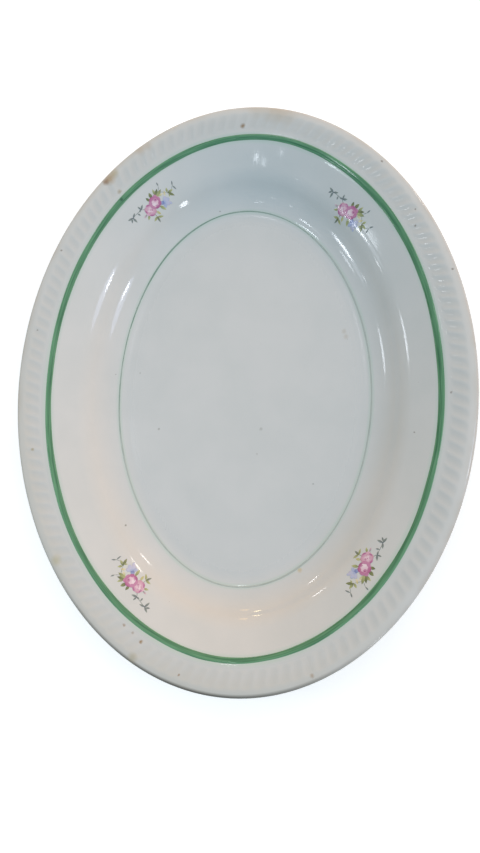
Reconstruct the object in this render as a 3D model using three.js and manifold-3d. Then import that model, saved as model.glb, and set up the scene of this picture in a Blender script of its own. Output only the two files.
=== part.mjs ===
// Oval earthenware platter: a biscuit body with a fluted rim, its glaze, a painted band and line,
// and four rose sprays. Millimetres, +Z up. The origin is the middle of the foot, on the table,
// and +X runs along the length.
//
// Every ring of the platter is an oval with half-axes reach + OVAL_STRETCH along X and reach along Y,
// the way an oval dish model is turned, so one profile of reach and height gives the whole form.

import * as THREE from 'three';
import { mergeVertices } from 'three/addons/utils/BufferGeometryUtils.js';
import loadManifold from 'manifold-3d';

// Overall size
const LENGTH = 300;
const WIDTH = 233;

// Widths of the face, from the edge inwards
const EDGE_THICKNESS = 2.8;
const LIP_WIDTH = 6.3;
const PLAIN_LIP_WIDTH = 2.9;
const FLUTE_LENGTH = 8.1;
const FILLET_WIDTH = 2.8;
const BAND_WIDTH = 2.9;
const RIM_TURN_WIDTH = 7.5;
const FLANK_WIDTH = 9.2;
const SHOULDER_WIDTH = 7;
const WALL_WIDTH = 18.8;

// Slopes of the face
const WALL_SLOPE = THREE.MathUtils.degToRad(48);
const FLANK_SLOPE = THREE.MathUtils.degToRad(28);
const RIM_SLOPE = THREE.MathUtils.degToRad(12.5);
const LIP_FALL = THREE.MathUtils.degToRad(10);

// Clay, glaze and foot
const BASE_THICKNESS = 4.8;
const RIM_THICKNESS = 4.2;
const GLAZE_THICKNESS = 0.35;
const FOOT_HEIGHT = 2.5;
const FOOT_WIDTH = 5;
const FOOT_OUTSET = 8.5;
const FOOT_FLARE = 1;
const BARE_FOOT_HEIGHT = 1;
const BASE_GLAZE_MARGIN = 0.6;

// Flutes pressed into the rim: they lean clockwise towards the edge, seen from above
const FLUTE_PITCH = 5.9;
const FLUTE_DEPTH = 0.2;
const FLUTE_LEAN = THREE.MathUtils.degToRad(20);
const FLUTE_RUNOUT = 1.2;

// Painted line round the foot of the wall, and the thickness of the painted enamel
const LINE_OUTSET = 5.75;
const LINE_WIDTH = 0.7;
const ENAMEL_THICKNESS = 0.2;

// Rose sprays of thin printed enamel, each laid by hand on the flank: its angle round the oval and its
// turn in degrees, and its rise above the shoulder
const SPRAYS = [
  { angle: 31.8, rise: 1, turn: 0 },
  { angle: 143.9, rise: 1.1, turn: -8 },
  { angle: 223.7, rise: 3.2, turn: 6 },
  { angle: 317.6, rise: 0, turn: 3 },
];
const ROSE_RADIUS = 3.2;
const SPRAY_THICKNESS = 0.25;
const SPRAY_GAP = 0.05;

// Facets
const RING_STEPS = 64;
const EDGE_ARC_STEPS = 2;
const WALL_STEPS = 3;
const SHOULDER_STEPS = 2;
const BLOOM_STEPS = 5;
const LEAF_STEPS = 2;

// Reaches worked out from the edge inwards
const OVAL_STRETCH = (LENGTH - WIDTH) / 2;
const EDGE_REACH = WIDTH / 2;
const EDGE_RADIUS = EDGE_THICKNESS / 2;
const LIP_OUTER = EDGE_REACH - EDGE_RADIUS * (1 - Math.sin(LIP_FALL));
const LIP_INNER = LIP_OUTER - LIP_WIDTH;
const FLUTES_OUTER = LIP_OUTER - PLAIN_LIP_WIDTH;
const FLUTES_INNER = FLUTES_OUTER - FLUTE_LENGTH;
const BAND_OUTER = FLUTES_INNER - FILLET_WIDTH;
const BAND_INNER = BAND_OUTER - BAND_WIDTH;
const TURN_INNER = FLUTES_INNER - RIM_TURN_WIDTH;
const FLANK_INNER = TURN_INNER - FLANK_WIDTH;
const WALL_TOP = FLANK_INNER - SHOULDER_WIDTH;
const WELL_REACH = WALL_TOP - WALL_WIDTH;
const LINE_INNER = WELL_REACH + LINE_OUTSET;
const LINE_OUTER = LINE_INNER + LINE_WIDTH;
const FOOT_OUTER = WELL_REACH + FOOT_OUTSET;
const FOOT_INNER = FOOT_OUTER - FOOT_WIDTH;
const WELL_HEIGHT = FOOT_HEIGHT + BASE_THICKNESS;

// Stretches of the face profile. On each, the sine of the slope changes evenly, so the stretch is a
// straight line or an arc of a circle.
const FACE_STRETCHES = [
  { from: WELL_REACH, to: WALL_TOP, slopes: [0, WALL_SLOPE] },
  { from: WALL_TOP, to: FLANK_INNER, slopes: [WALL_SLOPE, FLANK_SLOPE] },
  { from: FLANK_INNER, to: TURN_INNER, slopes: [FLANK_SLOPE, FLANK_SLOPE] },
  { from: TURN_INNER, to: FLUTES_INNER, slopes: [FLANK_SLOPE, RIM_SLOPE] },
  { from: FLUTES_INNER, to: LIP_INNER, slopes: [RIM_SLOPE, RIM_SLOPE] },
  { from: LIP_INNER, to: LIP_OUTER, slopes: [RIM_SLOPE, -LIP_FALL] },
];

function slopeOn({ from, to, slopes }, reach) {
  const [start, end] = slopes.map(Math.sin);
  return Math.asin(start + (end - start) * ((reach - from) / (to - from)));
}

function riseOn(stretch, reach) {
  const slope = slopeOn(stretch, reach);
  return (reach - stretch.from) * Math.tan((stretch.slopes[0] + slope) / 2);
}

function faceSlope(reach) {
  const stretch = FACE_STRETCHES.findLast(({ from }) => reach >= from);
  return stretch ? slopeOn(stretch, reach) : 0;
}

function faceHeight(reach) {
  let height = WELL_HEIGHT;
  for (const stretch of FACE_STRETCHES) {
    if (reach > stretch.from) height += riseOn(stretch, Math.min(reach, stretch.to));
  }
  return height;
}

// A point of the profile at a depth below the face, square to it
function below(reach, depth) {
  const slope = faceSlope(reach);
  return {
    reach: reach + depth * Math.sin(slope),
    height: faceHeight(reach) - depth * Math.cos(slope),
  };
}

function wallThickness(reach) {
  return THREE.MathUtils.mapLinear(reach, WELL_REACH, FLUTES_INNER, BASE_THICKNESS, RIM_THICKNESS);
}

// Angles round the oval at even distances along the middle of the flutes
const FLUTES_MIDDLE = (FLUTES_INNER + FLUTES_OUTER) / 2;
const OVAL = new THREE.EllipseCurve(0, 0, FLUTES_MIDDLE + OVAL_STRETCH, FLUTES_MIDDLE);
OVAL.arcLengthDivisions = 720;
const RIM_LENGTH = OVAL.getLength();
const FLUTE_COUNT = Math.round(RIM_LENGTH / FLUTE_PITCH);

function angleAt(run) {
  const turn = Math.floor(run);
  return 2 * Math.PI * (turn + OVAL.getUtoTmapping(run - turn));
}

function evenRuns(count) {
  return Array.from({ length: count }, (_, index) => index / count);
}

function ovalPoint({ reach, height }, angle) {
  return [(reach + OVAL_STRETCH) * Math.cos(angle), reach * Math.sin(angle), height];
}

function plainRing(profilePoint) {
  const angles = evenRuns(RING_STEPS).map(angleAt);
  return { angles, points: angles.map((angle) => ovalPoint(profilePoint, angle)) };
}

// A ring through the flutes: every second point is on a ridge, and the others are in the hollows
function flutedRing(reach, depth) {
  const outwards = reach - FLUTES_MIDDLE;
  const lean = (outwards * Math.tan(FLUTE_LEAN)) / RIM_LENGTH;
  const angles = evenRuns(2 * FLUTE_COUNT).map((run) => {
    const angle = angleAt(run - lean);
    const speed = Math.hypot(reach * Math.cos(angle), (reach + OVAL_STRETCH) * Math.sin(angle));
    const square = (outwards * OVAL_STRETCH * Math.sin(angle) * Math.cos(angle)) / speed ** 2;
    return angle + square;
  });
  const points = angles.map((angle, index) => {
    const hollow = index % 2 ? FLUTE_DEPTH : 0;
    return ovalPoint(below(reach, depth + hollow), angle);
  });
  return { angles, points };
}

// Triangles between two rings, facing up where the second is the outer one
function joinRings(triangles, first, second, inwards = false) {
  const matched = first.points.length === second.points.length;
  const place = ({ angles, points }, index) => {
    const turns = Math.floor(index / points.length);
    if (matched) return index;
    return angles[index % points.length] + 2 * Math.PI * turns;
  };
  const pick = ({ points }, index) => points[index % points.length];
  const add = (a, b, c) => triangles.push(...(inwards ? [a, c, b] : [a, b, c]));
  let i = 0;
  let j = 0;
  while (i < first.points.length || j < second.points.length) {
    const secondDone = j === second.points.length;
    const firstNext = i < first.points.length && place(first, i + 1) <= place(second, j + 1);
    if (secondDone || firstNext) {
      add(pick(first, i), pick(second, j), pick(first, i + 1));
      i += 1;
    } else {
      add(pick(first, i), pick(second, j), pick(second, j + 1));
      j += 1;
    }
  }
}

function joinAll(triangles, rings, inwards = false) {
  for (let index = 1; index < rings.length; index += 1) {
    joinRings(triangles, rings[index - 1], rings[index], inwards);
  }
}

// A flat oval inside a ring, facing up or down
function fillRing(triangles, { points }, facingDown = false) {
  const centre = [0, 0, points[0][2]];
  points.forEach((point, index) => {
    const next = points[(index + 1) % points.length];
    triangles.push(centre, ...(facingDown ? [next, point] : [point, next]));
  });
}

function solid(triangles) {
  const geometry = new THREE.BufferGeometry();
  geometry.setAttribute('position', new THREE.Float32BufferAttribute(triangles.flat(), 3));
  const merged = mergeVertices(geometry);
  merged.computeVertexNormals();
  return merged;
}

// Reaches where the face has a ring, from the well to the flutes
function evenSteps(from, to, count) {
  return evenRuns(count).map((share) => THREE.MathUtils.lerp(from, to, share));
}

const FACE_REACHES = [
  ...evenSteps(LINE_OUTER, WALL_TOP, WALL_STEPS),
  ...evenSteps(WALL_TOP, FLANK_INNER, SHOULDER_STEPS),
  WELL_REACH, LINE_INNER, FLANK_INNER, TURN_INNER, BAND_INNER, BAND_OUTER, FLUTES_INNER,
].sort((a, b) => a - b);

const BACK_REACHES = [FOOT_OUTER + FOOT_FLARE, WALL_TOP, FLANK_INNER, TURN_INNER, FLUTES_INNER];

// Rings of one skin of the platter, from the middle of the well over the edge and down to the foot,
// at a depth inside the finished surface
function skinRings(depth) {
  const face = FACE_REACHES.map((reach) => plainRing(below(reach, depth)));
  const flutes = [FLUTES_INNER + FLUTE_RUNOUT, LIP_INNER, FLUTES_OUTER - FLUTE_RUNOUT]
    .map((reach) => flutedRing(reach, depth));
  const lip = plainRing(below(FLUTES_OUTER, depth));
  const edgeCentre = below(LIP_OUTER, EDGE_RADIUS);
  const overTop = Math.PI / 2 - LIP_FALL;
  const underEdge = RIM_SLOPE - Math.PI / 2;
  const turns = [
    ...evenSteps(overTop, 0, EDGE_ARC_STEPS), ...evenSteps(0, underEdge, EDGE_ARC_STEPS), underEdge,
  ];
  const edge = turns.map((turn) => plainRing({
    reach: edgeCentre.reach + (EDGE_RADIUS - depth) * Math.cos(turn),
    height: edgeCentre.height + (EDGE_RADIUS - depth) * Math.sin(turn),
  }));
  const back = BACK_REACHES.toReversed()
    .map((reach) => plainRing(below(reach, wallThickness(reach) - depth)));
  const seat = below(BACK_REACHES[0], wallThickness(BACK_REACHES[0]));
  const glazeEnd = plainRing({
    reach: THREE.MathUtils.mapLinear(BARE_FOOT_HEIGHT, 0, seat.height, FOOT_OUTER, seat.reach) - depth,
    height: BARE_FOOT_HEIGHT,
  });
  return [...face, ...flutes, lip, ...edge, ...back, glazeEnd];
}

const FINISHED_SKIN = skinRings(0);
const BISCUIT_SKIN = skinRings(GLAZE_THICKNESS);
const BASE_RING = plainRing({ reach: FOOT_INNER - BASE_GLAZE_MARGIN, height: FOOT_HEIGHT });

// Pressed and fired clay, bare only on the foot it stands on
function earthenwareBody() {
  const foot = [
    { reach: FOOT_OUTER - GLAZE_THICKNESS, height: 0 },
    { reach: FOOT_INNER, height: 0 },
    { reach: FOOT_INNER, height: FOOT_HEIGHT },
  ].map(plainRing);
  const triangles = [];
  fillRing(triangles, BISCUIT_SKIN[0]);
  joinAll(triangles, [...BISCUIT_SKIN, ...foot, BASE_RING]);
  fillRing(triangles, BASE_RING, true);
  return solid(triangles);
}

// Glaze over the face, the edge and the back, wiped off above the foot
function glazeCoat() {
  const triangles = [];
  fillRing(triangles, FINISHED_SKIN[0]);
  joinAll(triangles, FINISHED_SKIN);
  joinRings(triangles, FINISHED_SKIN.at(-1), BISCUIT_SKIN.at(-1));
  joinAll(triangles, BISCUIT_SKIN, true);
  fillRing(triangles, BISCUIT_SKIN[0], true);
  return solid(triangles);
}

// Glaze on the underside of the base, inside the foot
function baseGlaze() {
  const lower = plainRing({
    reach: FOOT_INNER - BASE_GLAZE_MARGIN,
    height: FOOT_HEIGHT - GLAZE_THICKNESS,
  });
  const triangles = [];
  fillRing(triangles, BASE_RING);
  joinRings(triangles, BASE_RING, lower);
  fillRing(triangles, lower, true);
  return solid(triangles);
}

// A stripe painted on the face between two reaches, following the rings that lie between
function paintedStripe(inner, outer) {
  const reaches = FACE_REACHES.filter((reach) => reach >= inner && reach <= outer);
  const under = reaches.map((reach) => plainRing(below(reach, 0)));
  const over = reaches.map((reach) => plainRing(below(reach, -ENAMEL_THICKNESS)));
  const triangles = [];
  joinAll(triangles, over);
  joinRings(triangles, over.at(-1), under.at(-1));
  joinAll(triangles, under, true);
  joinRings(triangles, under[0], over[0]);
  return solid(triangles);
}

// Outlines of the printed spray, in rose radii along the rim and up the wall from its main rose
const BLOOMS = [
  { at: [0, 0], radius: 1 },
  { at: [-1.5, -0.5], radius: 0.88 },
  { at: [1.19, -1.06], radius: 0.75 },
];

const LEAVES = [
  { from: [0, 0.75], to: [0.22, 1.81], width: 0.62 },
  { from: [0.56, 0.56], to: [2.06, 1.03], width: 0.88 },
  { from: [2.69, -0.19], to: [3.06, 0.56], width: 0.56 },
  { from: [2.62, -0.25], to: [3.75, -0.38], width: 0.62 },
  { from: [2.75, -0.19], to: [3.38, -1.31], width: 0.62 },
  { from: [0.25, -0.88], to: [0.75, -2], width: 0.62 },
  { from: [-1.12, -1.88], to: [-2.12, -2.19], width: 0.5 },
  { from: [-1.22, -1.88], to: [-1.38, -2.81], width: 0.5 },
  { from: [-1.31, -1.94], to: [-0.28, -2.41], width: 0.5 },
  { from: [-2.25, -0.66], to: [-3, -0.81], width: 0.44 },
  { from: [-2.69, 0.5], to: [-1.88, 1.19], width: 0.44 },
  { from: [-2.62, 0.56], to: [-2.75, 1.38], width: 0.38 },
  { from: [-4.5, 0.31], to: [-5.56, 0.5], width: 0.44 },
  { from: [-4.62, 0.44], to: [-4.5, -0.75], width: 0.44 },
  { from: [-4.62, 0.28], to: [-3.81, 0.81], width: 0.38 },
  { from: [4.06, 0.06], to: [4.53, 0.75], width: 0.38 },
  { from: [4.09, 0.12], to: [4.25, -0.81], width: 0.38 },
  { from: [2.19, 1.56], to: [2.34, 2.25], width: 0.38 },
];

const STEMS = [
  { from: [1.69, 0.88], to: [2.75, -0.25] },
  { from: [3.44, -0.38], to: [4.19, 0.19] },
  { from: [1.69, 0.88], to: [2.25, 1.69] },
  { from: [-1.31, -1.12], to: [-1.22, -2] },
  { from: [-1.94, 0.06], to: [-2.75, 0.62] },
  { from: [-2.62, 0.56], to: [-4.62, 0.38] },
];
const STEM_WIDTH = 0.22;

const wasm = await loadManifold();
wasm.setup();

function toManifold(geometry) {
  const bare = geometry.clone();
  bare.deleteAttribute('normal');
  bare.deleteAttribute('uv');
  const merged = mergeVertices(bare);
  return new wasm.Manifold(new wasm.Mesh({
    numProp: 3,
    vertProperties: new Float32Array(merged.attributes.position.array),
    triVerts: new Uint32Array(merged.index.array),
  }));
}

function fromManifold(manifold) {
  const { vertProperties, triVerts } = manifold.getMesh();
  const geometry = new THREE.BufferGeometry();
  geometry.setAttribute('position', new THREE.Float32BufferAttribute(vertProperties, 3));
  geometry.setIndex([...triVerts]);
  geometry.computeVertexNormals();
  return geometry;
}

function bloomShape({ at, radius }) {
  return new THREE.Shape().absarc(...at, radius, 0, 2 * Math.PI);
}

function leafShape({ from, to, width }) {
  const base = new THREE.Vector2(...from);
  const tip = new THREE.Vector2(...to);
  const along = tip.clone().sub(base).normalize();
  const across = new THREE.Vector2(-along.y, along.x).multiplyScalar(width);
  const middle = base.clone().add(tip).multiplyScalar(0.5);
  return new THREE.Shape()
    .moveTo(base.x, base.y)
    .quadraticCurveTo(middle.x - across.x, middle.y - across.y, tip.x, tip.y)
    .quadraticCurveTo(middle.x + across.x, middle.y + across.y, base.x, base.y);
}

function stemShape({ from, to }) {
  const start = new THREE.Vector2(...from);
  const end = new THREE.Vector2(...to);
  const along = end.clone().sub(start).normalize();
  const across = new THREE.Vector2(-along.y, along.x).multiplyScalar(STEM_WIDTH / 2);
  return new THREE.Shape([
    start.clone().sub(across), end.clone().sub(across), end.clone().add(across), start.clone().add(across),
  ]);
}

// The glazed flank lifted by a small gap, as thick as the printed enamel
function enamelLayer() {
  const reaches = FACE_REACHES.filter((reach) => reach > LINE_OUTER && reach < BAND_INNER);
  const lifted = (lift) => reaches.map((reach) => {
    const { height } = below(reach, 0);
    return plainRing({ reach, height: height + lift });
  });
  const under = lifted(SPRAY_GAP);
  const over = lifted(SPRAY_GAP + SPRAY_THICKNESS);
  const triangles = [];
  joinAll(triangles, over);
  joinRings(triangles, over.at(-1), under.at(-1));
  joinAll(triangles, under, true);
  joinRings(triangles, under[0], over[0]);
  return toManifold(solid(triangles));
}

const ENAMEL_LAYER = enamelLayer();

// One spray: its outlines are laid on the flank as a flat print is, and cut from the enamel layer
function roseSpray({ angle, rise, turn }) {
  const around = THREE.MathUtils.degToRad(angle);
  const reach = FLANK_INNER + rise;
  const [x, y] = ovalPoint({ reach, height: 0 }, around);
  const ahead = [(reach + OVAL_STRETCH) * Math.sin(around), -reach * Math.cos(around), 0];
  const clockwise = new THREE.Vector3(...ahead).setLength(ROSE_RADIUS);
  const outwards = new THREE.Vector3(-clockwise.y, clockwise.x, 0).multiplyScalar(Math.cos(FLANK_SLOPE));
  const place = new THREE.Matrix4()
    .makeBasis(clockwise, outwards, new THREE.Vector3(0, 0, 1))
    .setPosition(x, y, 0)
    .multiply(new THREE.Matrix4().makeRotationZ(THREE.MathUtils.degToRad(turn)));
  const depth = faceHeight(LIP_INNER);
  const prism = (shape, curveSegments) => {
    const geometry = new THREE.ExtrudeGeometry(shape, { depth, curveSegments, bevelEnabled: false });
    return toManifold(geometry.applyMatrix4(place));
  };
  const prisms = [
    ...BLOOMS.map((bloom) => prism(bloomShape(bloom), BLOOM_STEPS)),
    ...LEAVES.map((leaf) => prism(leafShape(leaf), LEAF_STEPS)),
    ...STEMS.map((stem) => prism(stemShape(stem), 1)),
  ];
  const outline = prisms.reduce((whole, piece) => whole.add(piece));
  return fromManifold(outline.intersect(ENAMEL_LAYER));
}

const MATERIALS = {
  biscuit: { color: '#d9cdb8', roughness: 0.9 },
  glaze: { color: '#d6d5cf', roughness: 0.12 },
  green: { color: '#4f9870', roughness: 0.2 },
  print: { color: '#c98fa0', roughness: 0.2 },
};

function piece(name, geometry, finish) {
  const material = new THREE.MeshStandardMaterial({ ...MATERIALS[finish], metalness: 0 });
  const mesh = new THREE.Mesh(geometry, material);
  mesh.name = name;
  return mesh;
}

const platter = new THREE.Group();
platter.add(
  piece('earthenware_body', earthenwareBody(), 'biscuit'),
  piece('glaze_coat', glazeCoat(), 'glaze'),
  piece('base_glaze', baseGlaze(), 'glaze'),
  piece('rim_band', paintedStripe(BAND_INNER, BAND_OUTER), 'green'),
  piece('well_line', paintedStripe(LINE_INNER, LINE_OUTER), 'green'),
  ...SPRAYS.map((spray, index) => piece(`rose_spray_${index + 1}`, roseSpray(spray), 'print')),
);

export default platter;
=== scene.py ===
import math

import bpy
import numpy as np
from mathutils import Euler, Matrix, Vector


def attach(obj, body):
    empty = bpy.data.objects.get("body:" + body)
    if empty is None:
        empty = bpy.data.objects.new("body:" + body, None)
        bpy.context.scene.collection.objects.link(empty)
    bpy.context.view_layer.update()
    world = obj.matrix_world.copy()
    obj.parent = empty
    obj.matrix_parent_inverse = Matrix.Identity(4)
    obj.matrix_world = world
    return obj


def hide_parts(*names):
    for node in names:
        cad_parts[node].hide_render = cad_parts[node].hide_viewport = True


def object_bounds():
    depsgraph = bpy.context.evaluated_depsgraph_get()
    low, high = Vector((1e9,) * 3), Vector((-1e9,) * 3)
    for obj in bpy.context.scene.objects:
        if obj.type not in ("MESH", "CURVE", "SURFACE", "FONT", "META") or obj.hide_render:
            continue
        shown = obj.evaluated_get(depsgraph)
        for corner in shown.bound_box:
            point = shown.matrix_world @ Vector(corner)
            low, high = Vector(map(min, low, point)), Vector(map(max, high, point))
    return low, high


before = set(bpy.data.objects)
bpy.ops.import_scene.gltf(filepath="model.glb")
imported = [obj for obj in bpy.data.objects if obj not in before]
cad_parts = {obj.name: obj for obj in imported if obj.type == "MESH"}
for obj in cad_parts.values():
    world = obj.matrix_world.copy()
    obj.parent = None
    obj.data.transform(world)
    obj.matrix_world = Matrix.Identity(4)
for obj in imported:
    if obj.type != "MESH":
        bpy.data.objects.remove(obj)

cad_low, cad_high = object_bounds()

# Earthenware body
# One dish of buff clay, pressed over an oval mould and fired to biscuit. Every ring of it is an oval
# whose half-axes differ by the same stretch, and only the foot that it stands on stays bare of glaze.

MM = 0.001

half_width = (cad_high.y - cad_low.y) / 2
oval_stretch = (cad_high.x - cad_low.x) / 2 - half_width
edge_radius = 1.4 * MM
lip_width = 6.3 * MM
plain_lip_width = 2.9 * MM
flute_length = 8.1 * MM
rim_turn_width = 7.5 * MM
flank_width = 9.2 * MM
shoulder_width = 7 * MM
wall_width = 18.8 * MM
wall_slope = math.radians(48)
flank_slope = math.radians(28)
rim_slope = math.radians(12.5)
lip_fall = math.radians(10)
base_thickness = 4.8 * MM
rim_thickness = 4.2 * MM
glaze_thickness = 0.35 * MM
foot_height = 2.5 * MM
foot_width = 5 * MM
foot_outset = 8.5 * MM
foot_flare = 1 * MM
foot_round = 0.7 * MM
bare_foot_height = 1 * MM

lip_outer = half_width - edge_radius * (1 - math.sin(lip_fall))
lip_inner = lip_outer - lip_width
flutes_outer = lip_outer - plain_lip_width
flutes_inner = flutes_outer - flute_length
rim_turn = flutes_inner - rim_turn_width
flank_inner = rim_turn - flank_width
wall_top = flank_inner - shoulder_width
well_reach = wall_top - wall_width
foot_outer = well_reach + foot_outset
foot_inner = foot_outer - foot_width
well_height = foot_height + base_thickness

flute_pitch = 5.9 * MM
flute_depth = 0.26 * MM
flute_lean = math.radians(20)
flute_inner_round = 1.7 * MM
flute_outer_round = 2.3 * MM
groove_inset = 0.3 * MM
groove_reach = flutes_inner - groove_inset
groove_half_width = 1.7 * MM
groove_depth = 0.17 * MM

# Columns of points to a flute, and rows of them on each stretch of the face, round the edge, under the
# rim and down the back: on a skin that shows, and on one that the glaze hides
columns_per_flute = 6
shown_rows = ((2, 24, 15, 2, 10, 9, 9), 8, 3, 11)
hidden_rows = ((1, 5, 3, 1, 2, 2, 2), 5, 2, 9)

# Stretches of the face: from one reach to another the sine of the slope changes evenly between two
# slopes, which gives a straight line or an arc.
face_stretches = [
    (0, well_reach, 0, 0),
    (well_reach, wall_top, 0, wall_slope),
    (wall_top, flank_inner, wall_slope, flank_slope),
    (flank_inner, rim_turn, flank_slope, flank_slope),
    (rim_turn, flutes_inner, flank_slope, rim_slope),
    (flutes_inner, lip_inner, rim_slope, rim_slope),
    (lip_inner, lip_outer, rim_slope, -lip_fall),
]


def face_point(reach, depth=0.0):
    """Reach, height and slope of the profile at a depth below the finished face.

    A shallow groove is pressed into it along the inner ends of the flutes.
    """
    height = well_height
    slope = 0.0
    for start, end, first, last in face_stretches:
        if reach > start:
            share = min(1.0, (reach - start) / (end - start))
            sine = math.sin(first) + share * (math.sin(last) - math.sin(first))
            slope = math.asin(sine)
            height += (min(reach, end) - start) * math.tan((first + slope) / 2)
    groove = max(0.0, 1 - ((reach - groove_reach) / groove_half_width) ** 2)
    height -= groove_depth * groove ** 2
    return reach + depth * math.sin(slope), height - depth * math.cos(slope), slope


def skin_rows(depth, row_counts):
    """Rows of one skin of the dish, from the middle of the well over the edge and down to the foot.

    Each row holds its reach and height, how far the flutes' rounded ends close it, how far the lean
    of the flutes carries it along the rim, and on the face a mark of 1.
    """
    face_counts, edge_count, under_rim_count, back_count = row_counts
    half_flute = flute_length / 2
    rows = []
    for (start, end, *_), count in zip(face_stretches, face_counts):
        for reach in np.linspace(start, end, count, endpoint=False):
            inner_share = (reach - flutes_inner) / flute_inner_round
            outer_share = (flutes_outer - reach) / flute_outer_round
            closed = 1 - min(1.0, max(0.0, min(inner_share, outer_share)))
            drift = np.interp(
                reach,
                [wall_top, flutes_inner, flutes_outer],
                [0, -half_flute, half_flute],
            )
            rows.append((*face_point(reach, depth)[:2], closed ** 2, drift, 1))
    edge_reach, edge_height, _ = face_point(lip_outer, edge_radius)
    for turn in np.linspace(math.pi / 2 - lip_fall, rim_slope - math.pi / 2, edge_count):
        reach = edge_reach + (edge_radius - depth) * math.cos(turn)
        height = edge_height + (edge_radius - depth) * math.sin(turn)
        rows.append((reach, height, 1, half_flute))
    under_edge = rows[-1][:2]
    under_rim = face_point(flutes_inner, rim_thickness - depth)[:2]
    for share in np.linspace(0, 1, under_rim_count, endpoint=False)[1:]:
        reach, height = np.add(under_edge, share * np.subtract(under_rim, under_edge))
        rows.append((reach, height, 1, half_flute * (1 - share / 2)))
    foot_seat = foot_outer + foot_flare
    for reach in np.linspace(flutes_inner, foot_seat, back_count):
        thickness = np.interp(reach, [well_reach, flutes_inner], [base_thickness, rim_thickness])
        drift = np.interp(reach, [foot_seat, flutes_inner], [0, half_flute / 2])
        rows.append((*face_point(reach, thickness - depth)[:2], 1, drift))
    seat_reach, seat_height = rows[-1][:2]
    end_reach = np.interp(bare_foot_height, [0, seat_height], [foot_outer, seat_reach + depth])
    rows.append((end_reach - depth, bare_foot_height, 1, 0))
    return rows


def fill_inputs(tree, node, inputs):
    """Links or fills the inputs of a node, given in order or by name."""
    named = inputs.items() if isinstance(inputs, dict) else enumerate(inputs)
    for name, value in named:
        if isinstance(value, bpy.types.Node):
            value = value.outputs[0]
        if isinstance(value, bpy.types.NodeSocket):
            tree.links.new(value, node.inputs[name])
        else:
            node.inputs[name].default_value = value


def add_node(tree, kind, inputs=(), **settings):
    """Adds a node with its settings and inputs."""
    node = tree.nodes.new(kind)
    for name, value in settings.items():
        setattr(node, name, value)
    fill_inputs(tree, node, inputs)
    return node


def math_node(tree, operation, *values, **settings):
    """A math node of one operation, its inputs given in order."""
    return add_node(tree, "ShaderNodeMath", values, operation=operation, **settings)


def new_form_tree(name, sockets):
    """A geometry tree that takes one mesh and the named inputs and gives one mesh."""
    tree = bpy.data.node_groups.new(name, "GeometryNodeTree")
    tree.interface.new_socket("Form", in_out="INPUT", socket_type="NodeSocketGeometry")
    for socket, kind in sockets.items():
        tree.interface.new_socket(socket, in_out="INPUT", socket_type="NodeSocket" + kind)
    tree.interface.new_socket("Form", in_out="OUTPUT", socket_type="NodeSocketGeometry")
    return tree


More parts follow.
